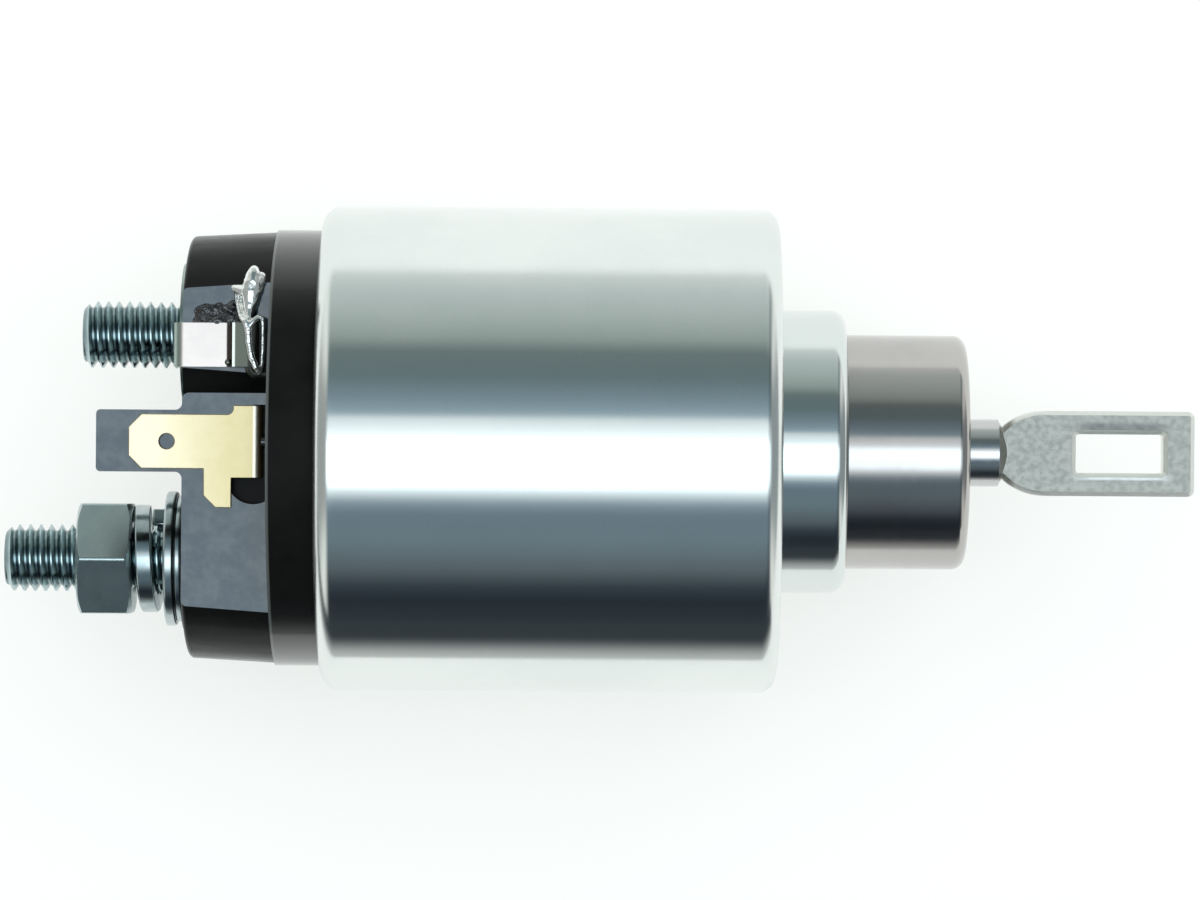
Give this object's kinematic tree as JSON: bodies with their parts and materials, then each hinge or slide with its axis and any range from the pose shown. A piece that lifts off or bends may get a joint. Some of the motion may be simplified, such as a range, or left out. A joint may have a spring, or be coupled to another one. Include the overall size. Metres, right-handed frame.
{
  "type": "starter solenoid",
  "caption": "Engine starter solenoid: a steel coil case with a spring-loaded plunger, a slotted pull link, and a moulded cap with stud and blade terminals.",
  "frame": {"origin": "centre of the front mounting face, on the axis of the plunger", "axes": "+X along the axis, the way the plunger and its link point; +Z towards the side of the cap with the flat that carries the blade terminal; the two terminal studs are apart along Y"},
  "size_m": [0.1411, 0.0576, 0.0574],
  "materials": {
    "case_zinc": "bright zinc plated, drawn and turned",
    "plunger_steel": "bare turned steel, lightly oiled",
    "link_zinc": "forged and matt zinc plated",
    "stud_zinc": "bright zinc plated, rolled thread",
    "nut_zinc": "bright zinc plated",
    "washer_zinc": "zinc plated, stamped",
    "spring_steel": "drawn spring wire",
    "core_steel": "turned soft iron, thin zinc",
    "cap_black": "black phenolic moulding, glossy",
    "blade_brass": "stamped pale brass, satin",
    "sleeve_brass": "drawn brass tube",
    "strap_tin": "brass strip with a bright tin coat",
    "solder": "soft solder, lumpy and bright",
    "resin": "dried sealing resin, wrinkled and glossy",
    "copper_wire": "enamelled copper wire",
    "copper_contact": "bare copper, lightly dulled",
    "bobbin_nylon": "natural glass-filled nylon",
    "wrap_paper": "varnished insulating paper",
    "insulator": "brown phenolic",
    "gasket_rubber": "nitrile rubber"
  },
  "bodies": {
    "housing": {"case": "case_zinc", "guide_sleeve": "sleeve_brass", "fixed_core": "core_steel", "bobbin": "bobbin_nylon", "pull_in_winding": "copper_wire", "hold_in_winding": "copper_wire", "winding_wrap": "wrap_paper", "bobbin_spacer": "wrap_paper", "cap_gasket": "gasket_rubber", "terminal_cap": "cap_black", "motor_stud": "stud_zinc", "battery_stud": "stud_zinc", "stud_seals": "gasket_rubber", "battery_ring": "washer_zinc", "battery_washer": "washer_zinc", "battery_lock_washer": "washer_zinc", "battery_nut": "nut_zinc", "blade_terminal": "blade_brass", "motor_strap": "strap_tin", "pull_in_lead": "strap_tin", "control_lead": "copper_wire", "solder_joint": "solder", "sealing_resin": "resin", "rod_guide": "insulator", "return_spring": "spring_steel", "opening_spring": "spring_steel"},
    "plunger": {"plunger": "plunger_steel", "plunger_plug": "plunger_steel", "release_spring": "spring_steel"},
    "spring_seat": {"spring_seat": "washer_zinc"},
    "link": {"link": "link_zinc"},
    "contact_rod": {"contact_rod": "core_steel", "rod_clips": "spring_steel", "contact_spring": "spring_steel"},
    "contact_disc": {"contact_disc": "copper_contact", "contact_bush": "insulator", "contact_washer": "insulator"}
  },
  "joints": [
    {"name": "plunger_slide", "type": "slide", "parent": "housing", "child": "plunger", "axis": [-1, 0, 0], "range_m": [0, 0.011], "stiffness_N_per_m": 1500, "springref_m": -0.01, "deforming": ["return_spring"]},
    {"name": "link_release", "type": "slide", "parent": "plunger", "child": "spring_seat", "axis": [1, 0, 0], "range_m": [0, 0.004], "stiffness_N_per_m": 2000, "springref_m": -0.02, "deforming": ["release_spring"]},
    {"name": "link_spin", "type": "hinge", "parent": "spring_seat", "child": "link", "pos_m": [0, 0, 0], "axis": [1, 0, 0], "continuous": true},
    {"name": "contact_rod_slide", "type": "slide", "parent": "housing", "child": "contact_rod", "axis": [-1, 0, 0], "range_m": [0, 0.0028], "deforming": ["opening_spring"]},
    {"name": "contact_disc_slide", "type": "slide", "parent": "contact_rod", "child": "contact_disc", "axis": [1, 0, 0], "range_m": [0, 0.00083], "deforming": ["contact_spring"]}
  ],
  "couplings": [
    {"joint": "contact_rod_slide", "follows": "plunger_slide", "ratio": 0.2545},
    {"joint": "contact_disc_slide", "follows": "plunger_slide", "ratio": 0.075}
  ]
}
